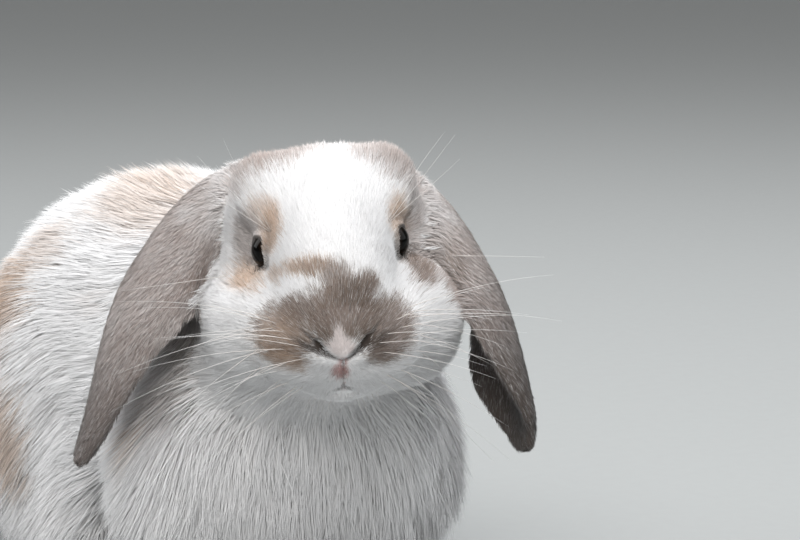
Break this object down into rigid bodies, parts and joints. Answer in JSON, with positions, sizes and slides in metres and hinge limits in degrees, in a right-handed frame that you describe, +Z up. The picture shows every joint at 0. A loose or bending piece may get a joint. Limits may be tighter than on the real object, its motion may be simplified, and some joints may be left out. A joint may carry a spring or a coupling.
{
  "type": "rabbit model",
  "caption": "Life-size still model of a crouched lop-eared rabbit, head turned to its right, ears hanging, standing on its four feet.",
  "frame": {"origin": "centre of the bounding box's bottom face, on the floor between the feet", "axes": "+Z up; the trunk lies along Y with the head towards -Y and the tail towards +Y; +X is the rabbit's left side"},
  "size_m": [0.1716, 0.35, 0.1849],
  "materials": {
    "coat": "soft white fur with tan-brown patches",
    "ear_coat": "short taupe-grey fur",
    "eye": "wet, near-black brown",
    "claw": "pale horn"
  },
  "bodies": {
    "root": {"claw_fore_left_1": "claw", "claw_fore_left_2": "claw", "claw_fore_left_3": "claw", "claw_fore_left_4": "claw", "claw_fore_left_dew": "claw", "claw_fore_right_1": "claw", "claw_fore_right_2": "claw", "claw_fore_right_3": "claw", "claw_fore_right_4": "claw", "claw_fore_right_dew": "claw", "claw_hind_left_1": "claw", "claw_hind_left_2": "claw", "claw_hind_left_3": "claw", "claw_hind_left_4": "claw", "claw_hind_right_1": "claw", "claw_hind_right_2": "claw", "claw_hind_right_3": "claw", "claw_hind_right_4": "claw", "ear_left": "ear_coat", "ear_right": "ear_coat", "eye_left": "eye", "eye_right": "eye", "foreleg_left": "coat", "foreleg_right": "coat", "forepaw_left": "coat", "forepaw_right": "coat", "head": "coat", "hindfoot_left": "coat", "hindfoot_right": "coat", "neck": "coat", "tail": "coat", "thigh_left": "coat", "thigh_right": "coat", "trunk": "coat"}
  },
  "joints": []
}
